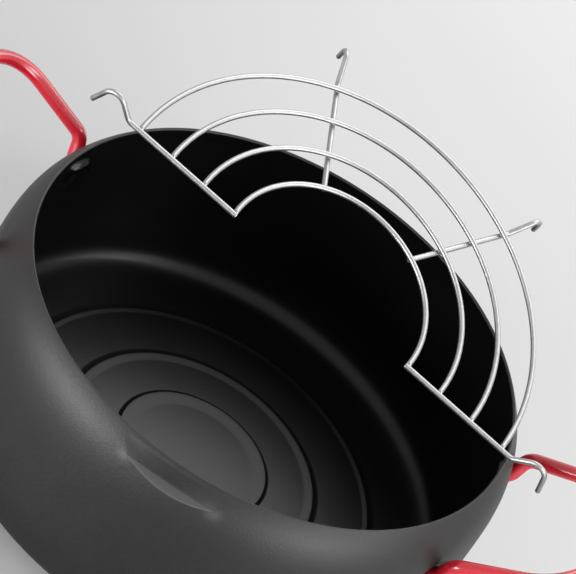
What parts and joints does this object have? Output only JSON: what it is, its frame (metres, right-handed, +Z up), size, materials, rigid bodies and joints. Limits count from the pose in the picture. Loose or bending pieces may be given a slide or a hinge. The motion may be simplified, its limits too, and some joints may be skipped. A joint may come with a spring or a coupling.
{
  "type": "tempura fryer pot",
  "caption": "Round pressed iron frying pot with a pinched pouring lip, bent rod side handles and a half-round wire drain rack that hooks over the rim and tips up.",
  "frame": {"origin": "middle of the base, on the surface that the pot stands on", "axes": "+X runs through the two handles, -Y is the side of the pouring lip, +Z is up out of the open mouth"},
  "size_m": [0.364, 0.2637, 0.1532],
  "materials": {
    "black_iron": "satin black, fine grain",
    "red_coating": "gloss red",
    "plated_wire": "bright plated wire"
  },
  "bodies": {
    "pot": {"pot_body": "black_iron", "handle_right": "red_coating", "handle_left": "red_coating"},
    "drain_rack": {"rack_arc_1": "plated_wire", "rack_arc_2": "plated_wire", "rack_arc_3": "plated_wire", "rack_arc_4": "plated_wire", "rack_end_bar_right": "plated_wire", "rack_end_bar_left": "plated_wire", "rack_spoke_right": "plated_wire", "rack_spoke_left": "plated_wire"}
  },
  "joints": [
    {"name": "rack_tip", "type": "hinge", "parent": "pot", "child": "drain_rack", "pos_m": [0.11815, 0.01654, 0.0981], "axis": [0.6667, 0.5428, -0.5108], "range_deg": [-17.2, 30]}
  ]
}
